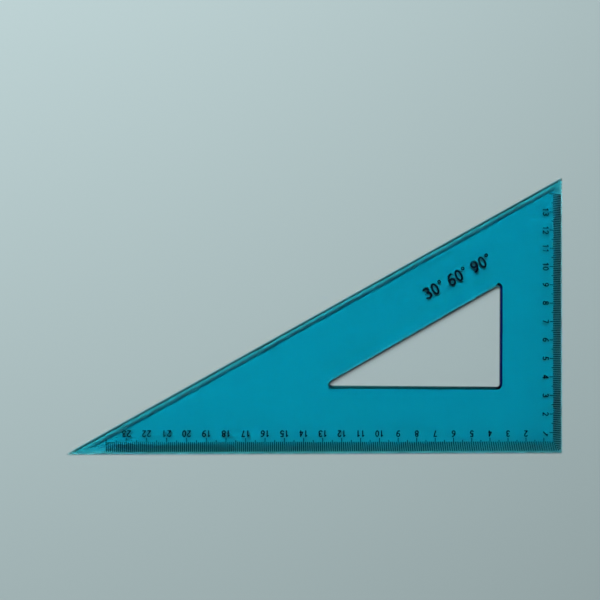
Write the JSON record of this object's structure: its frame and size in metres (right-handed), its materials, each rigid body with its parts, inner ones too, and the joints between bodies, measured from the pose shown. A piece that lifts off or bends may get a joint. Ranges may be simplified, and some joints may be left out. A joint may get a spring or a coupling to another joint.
{
  "type": "drafting triangle",
  "caption": "Clear blue plastic 30-60-90 degree drafting triangle with bevelled legs that carry printed centimetre scales, a stepped hypotenuse and a three-cornered window.",
  "frame": {"origin": "right-angle corner, on the underside that lies on the paper", "axes": "long leg along -X, short leg along +Y, +Z out of the printed face, so the part lies flat on the XY plane"},
  "size_m": [0.261, 0.1508, 0.0023],
  "materials": {
    "plate_plastic": "polished moulded transparent cyan plastic, with fine scratches from use",
    "print_ink": "thin matt black printing ink"
  },
  "bodies": {
    "root": {"plate": "plate_plastic", "long_scale_mm_lines": "print_ink", "long_scale_half_cm_lines": "print_ink", "long_scale_cm_lines": "print_ink", "long_scale_numerals": "print_ink", "short_scale_mm_lines": "print_ink", "short_scale_half_cm_lines": "print_ink", "short_scale_cm_lines": "print_ink", "short_scale_numerals": "print_ink", "corner_numeral": "print_ink", "angle_figures": "print_ink"}
  },
  "joints": []
}
